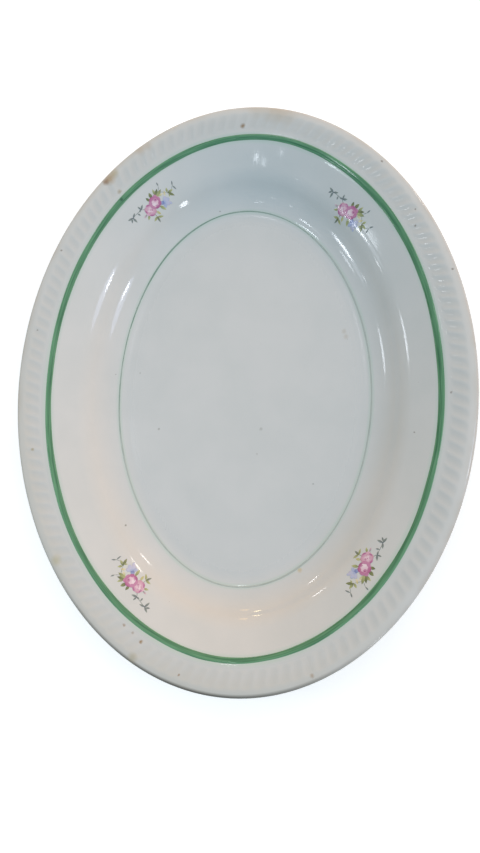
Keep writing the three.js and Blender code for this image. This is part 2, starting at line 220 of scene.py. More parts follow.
def turned_oval_tree():
    """Turns a profile round the oval, presses the flutes and lets painted edges waver."""
    tree = new_form_tree("turned_oval", {
        "Oval Stretch": "Float", "Columns": "Int", "Flutes": "Int", "Flute Depth": "Float",
        "Flute Lean": "Float", "Rim Length": "Float", "Angle Swing": "Float", "Second Swing": "Float",
        "Waver": "Float", "Waver Waves": "Float", "Waver Seed": "Float", "Face Slope": "Float",
        "Finish": "Material",
    })
    given = add_node(tree, "NodeGroupInput").outputs
    profile = given["Form"]
    row_count = add_node(
        tree, "GeometryNodeAttributeDomainSize", [profile], component="MESH").outputs["Point Count"]
    last_row = math_node(tree, "SUBTRACT", row_count, 1)
    column_count = math_node(tree, "ADD", given["Columns"], 1)
    grid = add_node(tree, "GeometryNodeMeshGrid", {
        "Size X": 1, "Size Y": 1, "Vertices X": column_count, "Vertices Y": row_count})
    position = add_node(tree, "GeometryNodeInputPosition")
    sheet = add_node(tree, "ShaderNodeSeparateXYZ", [position]).outputs
    run = math_node(tree, "ADD", sheet["X"], 0.5)
    up = math_node(tree, "ADD", sheet["Y"], 0.5)
    row = math_node(tree, "MULTIPLY_ADD", up, last_row, 0.5)

    station = add_node(
        tree, "GeometryNodeSampleIndex", {"Geometry": profile, "Value": position, "Index": row},
        data_type="FLOAT_VECTOR", domain="POINT")
    station = add_node(tree, "ShaderNodeSeparateXYZ", [station]).outputs
    carried = {}
    for name in ("closed", "drift", "side"):
        attribute = add_node(tree, "GeometryNodeInputNamedAttribute", [name], data_type="FLOAT")
        carried[name] = add_node(
            tree, "GeometryNodeSampleIndex", {"Geometry": profile, "Value": attribute, "Index": row},
            data_type="FLOAT", domain="POINT")

    # Angle round the oval at even distances along the rim, carried on by the lean of the flutes
    lean = math_node(tree, "TANGENT", given["Flute Lean"])
    lean = math_node(tree, "MULTIPLY", lean, carried["drift"])
    lean = math_node(tree, "DIVIDE", lean, given["Rim Length"])
    share = math_node(tree, "SUBTRACT", run, lean)
    angle = math_node(tree, "MULTIPLY", share, 2 * math.pi)
    for turns, swing in ((2, "Angle Swing"), (4, "Second Swing")):
        wave = math_node(tree, "MULTIPLY", share, 2 * math.pi * turns)
        wave = math_node(tree, "SINE", wave)
        angle = math_node(tree, "MULTIPLY_ADD", wave, given[swing], angle)

    # The flutes lean by the same angle from the square of the rim all the way round
    sine = math_node(tree, "SINE", angle)
    cosine = math_node(tree, "COSINE", angle)
    long_reach = math_node(tree, "ADD", station["X"], given["Oval Stretch"])
    across = math_node(tree, "MULTIPLY", station["X"], cosine)
    along = math_node(tree, "MULTIPLY", long_reach, sine)
    across = math_node(tree, "MULTIPLY", across, across)
    speed = math_node(tree, "MULTIPLY_ADD", along, along, across)
    square = math_node(tree, "MULTIPLY", sine, cosine)
    square = math_node(tree, "MULTIPLY", square, carried["drift"])
    square = math_node(tree, "MULTIPLY", square, given["Oval Stretch"])
    square = math_node(tree, "DIVIDE", square, speed)
    angle = math_node(tree, "ADD", angle, square)
    sine = math_node(tree, "SINE", angle)
    cosine = math_node(tree, "COSINE", angle)

    # A painted stroke wanders along the face, and its two edges a little differently
    edge_difference = 0.125
    layer = math_node(tree, "MULTIPLY_ADD", carried["side"], edge_difference, given["Waver Seed"])
    brush = add_node(tree, "ShaderNodeCombineXYZ", [cosine, sine, layer])
    brush = add_node(tree, "ShaderNodeTexNoise", {
        "Vector": brush, "Scale": given["Waver Waves"], "Detail": 3.0})
    waver = math_node(tree, "SUBTRACT", brush, 0.5)
    waver = math_node(tree, "MULTIPLY", waver, given["Waver"])
    level = math_node(tree, "COSINE", given["Face Slope"])
    climb = math_node(tree, "SINE", given["Face Slope"])
    reach = math_node(tree, "MULTIPLY_ADD", waver, level, station["X"])
    height = math_node(tree, "MULTIPLY_ADD", waver, climb, station["Z"])

    # Scooped hollows between sharp ridges, rounded at their ends
    phase = math_node(tree, "MULTIPLY", run, given["Flutes"])
    phase = math_node(tree, "FRACT", phase)
    phase = math_node(tree, "MULTIPLY_ADD", phase, 2, -1)
    ridge = math_node(tree, "MULTIPLY_ADD", phase, phase, carried["closed"])
    hollow = math_node(tree, "SUBTRACT", 1, ridge)
    hollow = math_node(tree, "MAXIMUM", hollow, 0)
    pressed = math_node(tree, "MULTIPLY", hollow, given["Flute Depth"])
    height = math_node(tree, "SUBTRACT", height, pressed)

    long_reach = math_node(tree, "ADD", reach, given["Oval Stretch"])
    x = math_node(tree, "MULTIPLY", long_reach, cosine)
    y = math_node(tree, "MULTIPLY", reach, sine)
    point = add_node(tree, "ShaderNodeCombineXYZ", [x, y, height])
    rim_run = math_node(tree, "MULTIPLY", run, given["Rim Length"])
    form = grid.outputs["Mesh"]
    kept_values = {"reach": reach, "rim_run": rim_run, "hollow": hollow, "side": carried["side"]}
    for name, value in kept_values.items():
        form = add_node(tree, "GeometryNodeStoreNamedAttribute", {
            "Geometry": form, "Name": name, "Value": value}, data_type="FLOAT", domain="POINT")
    form = add_node(tree, "GeometryNodeSetPosition", {"Geometry": form, "Position": point})
    weld_distance = 0.001 * MM
    form = add_node(tree, "GeometryNodeMergeByDistance", {"Geometry": form, "Distance": weld_distance})
    form = add_node(tree, "GeometryNodeFlipFaces", [form])
    form = add_node(tree, "GeometryNodeSetShadeSmooth", [form])
    form = add_node(tree, "GeometryNodeRealizeInstances", [form])
    form = add_node(tree, "GeometryNodeSetMaterial", {"Geometry": form, "Material": given["Finish"]})
    add_node(tree, "NodeGroupOutput", [form])
    return tree


def grown_piece(name, seed_mesh, tree, sizes):
    """A plain mesh object made by a geometry tree from a seed mesh and the tree's named inputs."""
    seed = bpy.data.objects.new(name + "_seed", seed_mesh)
    bpy.context.scene.collection.objects.link(seed)
    modifier = seed.modifiers.new("form", "NODES")
    modifier.node_group = tree
    for socket in tree.interface.items_tree:
        if socket.in_out == "INPUT" and socket.name in sizes:
            modifier[socket.identifier] = sizes[socket.name]
    graph = bpy.context.evaluated_depsgraph_get()
    mesh = bpy.data.meshes.new_from_object(
        seed.evaluated_get(graph), preserve_all_data_layers=True, depsgraph=graph)
    mesh.name = name
    bpy.data.objects.remove(seed)
    piece = bpy.data.objects.new(name, mesh)
    bpy.context.scene.collection.objects.link(piece)
    return piece


turned_oval = turned_oval_tree()

# Even distances along the rim, as an angle with two swings on top of an even turn
rim_steps = 4000
flutes_middle = flutes_inner + flute_length / 2
rim_angles = np.linspace(0, 2 * math.pi, rim_steps + 1)
rim_speed = np.hypot((flutes_middle + oval_stretch) * np.sin(rim_angles), flutes_middle * np.cos(rim_angles))
rim_lengths = np.concatenate([[0], np.cumsum((rim_speed[1:] + rim_speed[:-1]) / 2 * rim_angles[1])])
rim_length = rim_lengths[-1]
even_shares = np.linspace(0, 1, rim_steps, endpoint=False)
angle_swings = np.interp(even_shares, rim_lengths / rim_length, rim_angles) - 2 * math.pi * even_shares
flute_count = round(rim_length / flute_pitch)

oval_sizes = {
    "Oval Stretch": oval_stretch,
    "Columns": flute_count * columns_per_flute,
    "Flutes": flute_count,
    "Flute Depth": flute_depth,
    "Flute Lean": flute_lean,
    "Rim Length": float(rim_length),
    "Angle Swing": float(2 * np.mean(angle_swings * np.sin(4 * math.pi * even_shares))),
    "Second Swing": float(2 * np.mean(angle_swings * np.sin(8 * math.pi * even_shares))),
}


def turned_piece(name, rows, material, stroke_sizes=None):
    """A piece turned from profile rows of reach, height, flute closing, drift, and side or face mark."""
    mesh = bpy.data.meshes.new(name + "_profile")
    edges = [(index, index + 1) for index in range(len(rows) - 1)]
    mesh.from_pydata([(row[0], 0, row[1]) for row in rows], edges, [])
    for column, attribute in enumerate(("closed", "drift", "side"), start=2):
        values = [row[column] if len(row) > column else 0.0 for row in rows]
        mesh.attributes.new(attribute, "FLOAT", "POINT").data.foreach_set("value", values)
    sizes = {**oval_sizes, "Finish": material, **(stroke_sizes or {})}
    return grown_piece(name, mesh, turned_oval, sizes)


def linear(hex_colour):
    """An sRGB hex colour as linear RGBA."""
    channels = [int(hex_colour[start:start + 2], 16) / 255 for start in (1, 3, 5)]
    return [c / 12.92 if c <= 0.04045 else ((c + 0.055) / 1.055) ** 2.4 for c in channels] + [1.0]


def new_material(name):
    """A material, with its node tree, its surface shader and the piece's own coordinates."""
    material = bpy.data.materials.new(name)
    material.use_nodes = True
    tree = material.node_tree
    coords = add_node(tree, "ShaderNodeTexCoord").outputs["Object"]
    return material, tree, tree.nodes["Principled BSDF"], coords


def mottle(tree, coords, size, detail):
    """A cloudy noise with blotches of about the given size."""
    return add_node(tree, "ShaderNodeTexNoise", {"Vector": coords, "Scale": 1 / size, "Detail": detail})


def fade(tree, value, start, end, first=0.0, last=1.0):
    """Runs from first to last while the value goes from start to end."""
    return add_node(tree, "ShaderNodeMapRange", [value, start, end, first, last])


def blend(tree, share, under, over):
    """A share of one colour over another, each of them a node's colour or an sRGB hex colour."""
    colours = [linear(colour) if isinstance(colour, str) else colour for colour in (under, over)]
    return add_node(tree, "ShaderNodeMixRGB", [share, *colours])


# Biscuit earthenware, fired and unglazed: matt buff clay with fine grog that takes dirt where it stands
biscuit, tree, shader, coords = new_material("biscuit_earthenware")
grog_size = 0.5 * MM
grit_depth = 0.1 * MM
smudge_size = 14 * MM
grog = mottle(tree, coords, grog_size, 4.0)
smudge = mottle(tree, coords, smudge_size, 3.0)
clay = blend(tree, grog, "#c9b697", "#e0d2b8")
dirt = fade(tree, smudge, 0.5, 0.75, 0.0, 0.5)
clay = blend(tree, dirt, clay, "#8d7a63")
grit = add_node(tree, "ShaderNodeBump", {"Strength": 0.5, "Distance": grit_depth, "Height": grog})
fill_inputs(tree, shader, {"Base Color": clay, "Roughness": 0.88, "Normal": grit})

foot_arc_points = 4
foot_arc = [
    (foot_outer - glaze_thickness - foot_round * (1 - math.cos(turn)), foot_round * (1 - math.sin(turn)), 1)
    for turn in np.linspace(0, math.pi / 2, foot_arc_points)
]
foot_rows = [
    *foot_arc,
    (foot_inner + foot_round, 0, 1),
    (foot_inner, foot_round, 1),
    (foot_inner, foot_height, 1),
    (0, foot_height, 1),
]
body_rows = [*skin_rows(glaze_thickness, hidden_rows), *foot_rows]
body = turned_piece("platter_body", body_rows, biscuit)
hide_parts("earthenware_body")
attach(body, "root")

# Glaze coat
# A glossy off-white glaze over the face, the edge and the back, wiped off above the foot. It pools grey in
# the flutes, where painted shade also darkens the hollows, runs thin and brownish along the edge, and has
# picked up specks and stains.
# Along the lip of the low side it is tinted warmer and a little darker, and at the low end its very edge
# carries a painted shadow.

band_inset = 2.7 * MM
band_width = 3.1 * MM
band_outer = flutes_inner - band_inset
line_outset = 5.75 * MM
line_width = 0.7 * MM
line_inner = well_reach + line_outset


def stored(tree, name, output="Fac"):
    """A value that the piece's mesh carries on its points."""
    return add_node(tree, "ShaderNodeAttribute", attribute_name=name).outputs[output]


def vector_node(tree, operation, *values):
    """A vector math node of one operation, its inputs given in order."""
    return add_node(tree, "ShaderNodeVectorMath", values, operation=operation)


def fade_across(tree, coords, bearing, start, end, first=0.0, last=1.0):
    """Runs from first to last across the platter along a bearing."""
    along = vector_node(tree, "DOT_PRODUCT", coords, bearing).outputs["Value"]
    return fade(tree, along, start, end, first, last)


def spot(tree, coords, angle, reach, height, radius, core, strength):
    """A round spot on the oval, at full strength over its core and faded out at its radius."""
    turn = math.radians(angle)
    middle = ((reach + oval_stretch) * math.cos(turn), reach * math.sin(turn), height)
    away = vector_node(tree, "DISTANCE", coords, middle).outputs["Value"]
    return fade(tree, away, core * radius, radius, strength, 0.0)


# Off-white earthenware glaze: hard, shiny and slightly uneven, rougher where knives have worn the well
glaze, tree, shader, coords = new_material("white_earthenware_glaze")
reach = stored(tree, "reach")
hollow = stored(tree, "hollow")
cloud_size = 22 * MM
clouds = fade(tree, mottle(tree, coords, cloud_size, 4.0), 0.35, 0.65)
colour = blend(tree, clouds, "#cbcbc9", "#cfcecc")
dingy = fade(tree, reach, band_outer - band_width, flutes_inner, 0.0, 0.16)
clean_lip = fade(tree, reach, lip_inner, lip_inner + 4 * MM, 1.0, 0.4)
dingy = math_node(tree, "MULTIPLY", dingy, clean_lip)
colour = blend(tree, dingy, colour, "#a5a39c")
# Grey glaze pooled in the flute hollows, with painted shade in the hollows as well
pool_and_shade_strength = 0.16
pooled_glaze_and_shade = math_node(tree, "MULTIPLY", hollow, pool_and_shade_strength)
colour = blend(tree, pooled_glaze_and_shade, colour, "#b1b0ab")

# The glaze runs thin along the edge, and the clay under it shows brownish there
thin_patch_size = 16 * MM
thin_patches = fade(tree, mottle(tree, coords, thin_patch_size, 5.0), 0.42, 0.7, 0.03, 0.4)
near_edge = fade(tree, reach, flutes_outer, half_width)
thin_edge = math_node(tree, "MULTIPLY", near_edge, thin_patches)
colour = blend(tree, thin_edge, colour, "#ab9880")

# Along the low side the lip is tinted warmer and a little darker, and at the low end the very edge carries a
# painted shadow
low_side_bearing = (-0.8, 0.6, 0)
low_end_bearing = (-0.97, 0.2, 0)
low_side = fade_across(tree, coords, low_side_bearing, 20 * MM, 90 * MM, 0.1, 0.9)
low_side_tint = fade(tree, reach, lip_inner - 2 * MM, lip_inner + 3 * MM, 0.0, 0.5)
low_side_tint = math_node(tree, "MULTIPLY", low_side_tint, low_side)
colour = blend(tree, low_side_tint, colour, "#c5beb2")
# Painted shadow: the underside of the edge at the low end, turned away from the light, shown as a dark line
low_end = fade_across(tree, coords, low_end_bearing, 105 * MM, 147 * MM, 0.05, 0.85)
painted_edge_shadow = fade(tree, reach, half_width - 2.2 * MM, half_width - 0.9 * MM)
painted_edge_shadow = math_node(tree, "MULTIPLY", painted_edge_shadow, low_end)
colour = blend(tree, painted_edge_shadow, colour, "#5c564d")
# Where the painted shadow lies, the glaze mirrors almost nothing
shine = fade(tree, painted_edge_shadow, 0.0, 0.9, 0.5, 0.05)

# The green of the band and of the well line has bled a little into the face beside them. Of each: its
# middle, its half width and the strength of the bleed.
bleed_width = 1.5 * MM
face = stored(tree, "side")
stripes = [
    (band_outer - band_width / 2, band_width / 2, 0.34),
    (line_inner + line_width / 2, line_width / 2, 0.3),
]
for stripe_middle, half_stripe, bleed in stripes:
    away = math_node(tree, "SUBTRACT", reach, stripe_middle)
    away = math_node(tree, "ABSOLUTE", away)
    bled = fade(tree, away, half_stripe, half_stripe + bleed_width, bleed, 0.0)
    bled = math_node(tree, "MULTIPLY", bled, face)
    colour = blend(tree, bled, colour, "#9fc3ad")

# Fine dark specks from the firing, in about half the cells of a scatter
speck_spacing = 9 * MM
speck_radius = 0.24 * MM
speck_sharpness = 90.0
speck_strength = 0.65
bare_cells = 0.45
scatter = add_node(tree, "ShaderNodeTexVoronoi", {"Vector": coords, "Scale": 1 / speck_spacing}).outputs
kept = add_node(tree, "ShaderNodeSeparateColor", [scatter["Color"]]).outputs
kept_size = fade(tree, kept["Red"], bare_cells, 1.0, 0.0, speck_radius / speck_spacing)
speck = math_node(tree, "SUBTRACT", kept_size, scatter["Distance"])
speck = math_node(tree, "MULTIPLY", speck, speck_sharpness, use_clamp=True)
speck = math_node(tree, "MULTIPLY", speck, speck_strength)
colour = blend(tree, speck, colour, "#7d6d58")

# Chips, stains and pits: angle round the oval, reach and radius in mm, strength and colour
stains = [
    (36.6, 113.4, 3.4, 0.55, "#a8976c"),
    (38.4, 113.2, 4.2, 0.75, "#a58c68"),
    (39.5, 113.6, 2.4, 0.7, "#86664a"),
    (38.4, 104.2, 1.6, 0.6, "#94825f"),
    (27.8, 113.6, 3.6, 0.35, "#b39a7c"),
    (25.6, 113.2, 3.2, 0.3, "#b39a7c"),
    (-14, 113.2, 7, 0.25, "#b09c80"),
    (-10.5, 114.2, 8, 0.35, "#b09c80"),
    (-5.6, 114.6, 6, 0.25, "#b09c80"),
    (155.5, 113.5, 3.0, 0.45, "#a99a70"),
    (127.6, 112.6, 3.5, 0.5, "#b6aa80"),
    (-1.7, 105.9, 1.7, 0.85, "#8a6f4c"),
    (167.4, 110.5, 0.8, 0.85, "#94704a"),
    (155.6, 105.5, 1.2, 0.9, "#8f6f42"),
    (152.7, 104.5, 0.9, 0.5, "#8d7358"),
    (149.8, 104.5, 1.0, 0.7, "#94775a"),
    (103.4, 108.8, 1.1, 0.7, "#a09068"),
    (-160.1, 113.0, 1.3, 0.6, "#a3876a"),
    (-153.6, 69.7, 1.6, 0.45, "#c5a552"),
    (-41.0, 113.9, 0.8, 0.8, "#665a4a"),
    (-54.4, 111.1, 0.6, 0.7, "#665a4a"),
    (-57.3, 107.0, 0.7, 0.8, "#665a4a"),
    (-69.3, 114.0, 0.8, 0.7, "#665a4a"),
    (58.7, 112.2, 0.8, 0.7, "#665a4a"),
    (77.4, 109.9, 0.6, 0.6, "#665a4a"),
    (-93.3, 104.2, 0.7, 0.7, "#665a4a"),
    (-102.1, 89.2, 0.6, 0.7, "#6e6a60"),
    (129.9, 77.7, 0.7, 0.8, "#6e6a60"),
    (84.0, 70.7, 0.5, 0.6, "#6e6a60"),
    (10.5, 70.7, 0.6, 0.7, "#6e6a60"),
    (61.3, 68.1, 0.6, 0.8, "#4f6a5c"),
    (104.3, 46.3, 0.8, 0.5, "#77756c"),
    (243.1, 12.1, 1.1, 0.35, "#807c72"),
    (223.2, 12.8, 0.8, 0.3, "#807c72"),
    (232.5, 47.6, 0.6, 0.5, "#77756c"),
    (82.6, 57.3, 0.6, 0.35, "#807c72"),
    (289.5, 57.7, 1.8, 0.3, "#a8977c"),
    (287.5, 58.1, 1.8, 0.3, "#a8977c"),
]
stain_core = 0.25
ragged_size = 1.5 * MM
ragged_stray = 1.2 * MM
ragged = mottle(tree, coords, ragged_size, 3.0)
ragged = vector_node(tree, "SUBTRACT", ragged.outputs["Color"], (0.5, 0.5, 0.5))
ragged = add_node(tree, "ShaderNodeVectorMath", {0: ragged, "Scale": ragged_stray}, operation="SCALE")
stain_coords = vector_node(tree, "ADD", coords, ragged)
for angle, reach_mm, radius_mm, strength, tint in stains:
    stain_reach, stain_height, _ = face_point(reach_mm * MM)
    stain = spot(
        tree, stain_coords, angle, stain_reach, stain_height, radius_mm * MM, stain_core, strength)
    colour = blend(tree, stain, colour, tint)

# Wear: fine knife marks have dulled the well, and handling one side of the rim
clean_roughness = 0.07
mark_length = 6 * MM
mark_turn = 0.6
mark_fineness = 9
handled_bearing = (-0.4, 0.9, 0)
ripple_size = 7 * MM
ripple_depth = 0.03 * MM
marks = add_node(tree, "ShaderNodeMapping", {
    "Vector": coords, "Rotation": (0, 0, mark_turn), "Scale": (1, mark_fineness, 1)})
marks = fade(tree, mottle(tree, marks, mark_length, 6.0), 0.3, 0.7, 0.24, 0.3)
worn = fade(tree, reach, well_reach - 4 * MM, well_reach + 6 * MM, 1.0, 0.0)
rough = math_node(tree, "MULTIPLY_ADD", worn, marks, clean_roughness)
handled = fade_across(tree, coords, handled_bearing, -10 * MM, 40 * MM, 0.09, 0.4)
matt_rim = fade(tree, reach, band_outer, flutes_inner)
matt_rim = math_node(tree, "MULTIPLY", matt_rim, handled)
rough = math_node(tree, "MAXIMUM", rough, matt_rim)
ripple = mottle(tree, coords, ripple_size, 1.0)
ripple = add_node(tree, "ShaderNodeBump", {"Strength": 0.25, "Distance": ripple_depth, "Height": ripple})
fill_inputs(tree, shader, {
    "Base Color": colour, "Roughness": rough, "Specular IOR Level": shine, "Normal": ripple})

glaze_rows = [*skin_rows(0, shown_rows), *reversed(skin_rows(glaze_thickness, hidden_rows))]
glaze_coat = turned_piece("platter_glaze", glaze_rows, glaze)
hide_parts("glaze_coat")
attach(glaze_coat, "root")

# Base glaze
# The same glaze pooled on the underside inside the foot, with three small scars where the platter
# stood on kiln pins in the glaze firing.

base_glaze_margin = 0.6 * MM
base_reach = foot_inner - base_glaze_margin
base_level = foot_height - glaze_thickness
base_edge_round = 0.5 * MM
base_edge_inset = 0.1 * MM
base_edge_drop = 0.25 * MM
soil_width = 4 * MM
pin_angles = (90, 210, 330)
pin_circle = 52 * MM
pin_radius = 1.3 * MM
pin_core = 0.6

# Underside glaze: the same off-white, dirtier towards the foot, with buff pin scars
under_glaze, tree, shader, coords = new_material("underside_glaze")
reach = stored(tree, "reach")
base_cloud_size = 30 * MM
clouds = fade(tree, mottle(tree, coords, base_cloud_size, 4.0), 0.35, 0.65)
colour = blend(tree, clouds, "#c8c8c4", "#d0cec8")
soil = fade(tree, reach, base_reach - soil_width, base_reach, 0.0, 0.5)
colour = blend(tree, soil, colour, "#a3957f")
for angle in pin_angles:
    scar = spot(tree, coords, angle, pin_circle, foot_height, pin_radius, pin_core, 0.85)
    colour = blend(tree, scar, colour, "#a89272")
fill_inputs(tree, shader, {"Base Color": colour, "Roughness": 0.14})

base_rows = [
    (0, foot_height, 1),
    (base_reach, foot_height, 1),
    (base_reach - base_edge_inset, foot_height - base_edge_drop, 1),
    (base_reach - base_edge_round, base_level, 1),
    (base_reach / 2, base_level, 1),
    (0, base_level, 1),
]
base_glaze = turned_piece("underside_glaze", base_rows, under_glaze)
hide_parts("base_glaze")
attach(base_glaze, "root")

# Rim band
# A band of green enamel, painted with a loaded brush while the platter turned on a wheel and fired on.
# Its edges waver a little and the colour lies in streaks, darker where the brush pressed.

band_lift = 0.12 * MM
band_wander = 2.9 * MM
band_seed = 14.75
brush_waves = 1.1

# Points across the top of a stripe, and how deep it sinks into the glaze for its lift
stripe_points = 9
stripe_sink = 0.5


def stripe_rows(inner, width, lift):
    """A closed strip on the face: domed on top, sunk a little into the glaze underneath."""
    rows = []
    for side in np.linspace(-1, 1, stripe_points):
        reach, height, _ = face_point(inner + width * (side + 1) / 2, -lift * (1 - side ** 4))
        rows.append((reach, height, 1, 0, side))
    for side in (1, 0, -1):
        reach, height, _ = face_point(inner + width * (side + 1) / 2, stripe_sink * lift)
        rows.append((reach, height, 1, 0, side))
    return [*rows, rows[0]]


# Green enamel: a fired-on glassy paint, streaked along the stroke and deeper towards its inner edge
green_enamel, tree, shader, coords = new_material("green_enamel")
rim_run = stored(tree, "rim_run")
side = stored(tree, "side")
stroke_length = 45 * MM
streak_fineness = 2.2
deep_side = -0.35
brush_depth = 0.03 * MM
stroke = math_node(tree, "MULTIPLY", rim_run, 1 / stroke_length)
stroke = add_node(tree, "ShaderNodeCombineXYZ", [stroke, side, 0.0])
streaks = add_node(tree, "ShaderNodeTexNoise", {"Vector": stroke, "Scale": streak_fineness, "Detail": 3.0})
away = math_node(tree, "SUBTRACT", side, deep_side)
away = math_node(tree, "ABSOLUTE", away)
deep = fade(tree, away, 0.1, 0.7, 0.14, 0.0)
tone = math_node(tree, "SUBTRACT", streaks, deep)
tone = fade(tree, tone, 0.2, 0.65)
colour = blend(tree, tone, "#336947", "#649770")
thin = math_node(tree, "ABSOLUTE", side)
thin = fade(tree, thin, 0.8, 1.0, 0.0, 0.4)
colour = blend(tree, thin, colour, "#a3c4b0")

# A darker drop where the brush was set down
drop_angle = 39.3
drop_reach = 100.6 * MM
drop_radius = 1.2 * MM
drop_core = 0.4
drop_height = face_point(drop_reach)[1]
drop = spot(tree, coords, drop_angle, drop_reach, drop_height, drop_radius, drop_core, 0.75)
colour = blend(tree, drop, colour, "#24513a")
brush = add_node(tree, "ShaderNodeBump", {"Strength": 0.4, "Distance": brush_depth, "Height": streaks})
fill_inputs(tree, shader, {"Base Color": colour, "Roughness": 0.09, "Normal": brush})

band_rows = stripe_rows(band_outer - band_width, band_width, band_lift)
rim_band = turned_piece("green_rim_band", band_rows, green_enamel, {
    "Waver": band_wander, "Waver Waves": brush_waves, "Waver Seed": band_seed,
    "Face Slope": face_point(band_outer - band_width / 2)[2]})
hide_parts("rim_band")
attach(rim_band, "root")

# Well line
# A thin line of the same green, drawn with a fine brush at the foot of the wall. The brush ran dry on
# the way round, so the line is clearer at one end of the platter than at the other.

line_lift = 0.08 * MM
line_wander = 2 * MM
line_seed = 57.0

# Green enamel drawn thin: greyed by the glaze that shows through it
thin_enamel, tree, shader, coords = new_material("thin_green_enamel")
wet_bearing = (0.7, 0.7, 0)
skip_length = 9 * MM
dry = fade_across(tree, coords, wet_bearing, 88 * MM, 10 * MM)
skips = fade(tree, mottle(tree, coords, skip_length, 4.0), 0.3, 0.7, -0.3, 0.3)
dry = math_node(tree, "ADD", dry, skips, use_clamp=True)
colour = blend(tree, dry, "#7d9586", "#b0b6b0")
fill_inputs(tree, shader, {"Base Color": colour, "Roughness": 0.12})

line_rows = stripe_rows(line_inner, line_width, line_lift)
well_line = turned_piece("green_well_line", line_rows, thin_enamel, {
    "Waver": line_wander, "Waver Waves": brush_waves, "Waver Seed": line_seed,
    "Face Slope": face_point(line_inner)[2]})
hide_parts("well_line")
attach(well_line, "root")

# Rose sprays
# Four printed transfers fired on the flank, each the same small spray: two pink roses, a blue flower,
# leaves and fine sprigs. Every petal and leaf is a thin domed patch of enamel laid on the glaze.

# Sprays: angle round the oval and turn of the print in degrees, and rise above the shoulder in mm
sprays = [(31.8, 0, 1), (143.9, -8, 1.1), (223.7, 6, 3.2), (317.6, 3, 0)]

# Every patch is a flattened ball, set a step above the last, and a leaf's is pointed at both ends
patch_segments = 20
patch_rings = 8
patch_thickness = 0.04 * MM
patch_step = 0.002 * MM
leaf_taper = 0.75

print_tints = {
    "pale": "#e6d2d8", "blush": "#d8aebf", "pink": "#c384a4", "rose": "#ad5c8a", "heart": "#862853",
    "salmon": "#c793a6", "orchid": "#be82a4", "cream": "#e0d3b6", "yellow": "#c2b67e", "lime": "#b4b682",
    "olive": "#868a5c", "moss": "#626a4a", "sage": "#8a928a", "slate": "#6c7478", "sky": "#b5bad2",
    "blue": "#99a2c8", "ink": "#6f78aa", "lilac": "#bfbbd0",
}

# Petals: middle along the rim and up the wall in mm, turn in degrees, half-sizes, base and tip colours
petals = [
    (-4.4, 0.5, 80, 1.2, 1.5, "blush", "orchid"),
    (-6.1, -0.3, 145, 1.3, 1.5, "blush", "salmon"),
    (-6.5, -2.2, 205, 1.3, 1.5, "salmon", "blush"),
    (-4.9, -3.6, 260, 1.2, 1.6, "blush", "orchid"),
    (-3.1, -3.2, 315, 1.2, 1.4, "blush", "salmon"),
    (-4.6, -1.5, 20, 2.0, 1.8, "pale", "blush"),
    (-5.3, -0.8, 120, 0.8, 0.9, "pale", "orchid"),
    (-5.2, -2.3, 230, 0.8, 0.8, "pale", "salmon"),
    (-3.8, -1.9, 330, 0.7, 0.8, "salmon", "orchid"),
    (-4.6, -1.4, 0, 0.5, 0.45, "rose", "salmon"),
    (-3.9, 0.9, 80, 0.4, 1.2, "orchid", "rose"),
    (-6.9, -1.1, 180, 0.4, 1.0, "orchid", "rose"),
    (-5.7, -3.9, 240, 0.4, 1.1, "orchid", "rose"),
    (5.4, -1.9, 40, 1.3, 1.0, "sky", "lilac"),
    (6.2, -3.2, 350, 1.3, 1.0, "lilac", "sky"),
    (5.2, -4.6, 300, 1.3, 1.0, "sky", "lilac"),
    (3.6, -4.5, 240, 1.3, 0.9, "blue", "sky"),
    (3.3, -2.9, 150, 1.4, 1.0, "ink", "blue"),
    (4.5, -3.2, 0, 0.9, 0.8, "blue", "sky"),
    (6.6, -5.4, 300, 0.9, 0.6, "lilac", "sky"),
    (1.6, 1.9, 50, 1.5, 1.3, "rose", "pink"),
    (2.3, 0.2, 0, 1.3, 1.6, "rose", "pink"),
    (1.6, -1.6, 310, 1.5, 1.3, "pink", "rose"),
    (-0.2, -2.2, 265, 1.2, 1.8, "orchid", "rose"),
    (-1.9, -1.2, 210, 1.3, 1.7, "orchid", "pink"),
    (-2.1, 0.7, 160, 1.2, 1.6, "orchid", "pink"),
    (-0.5, 2.1, 100, 1.2, 1.7, "pink", "rose"),
    (0.0, -0.1, 215, 2.7, 2.4, "blush", "pale"),
    (-0.7, -0.8, 215, 1.6, 1.9, "pale", "pale"),
    (-0.2, -1.7, 250, 0.5, 1.5, "blush", "orchid"),
    (0.9, 0.8, 40, 1.4, 1.3, "orchid", "pink"),
    (1.1, 0.9, 100, 0.8, 0.7, "heart", "rose"),
]

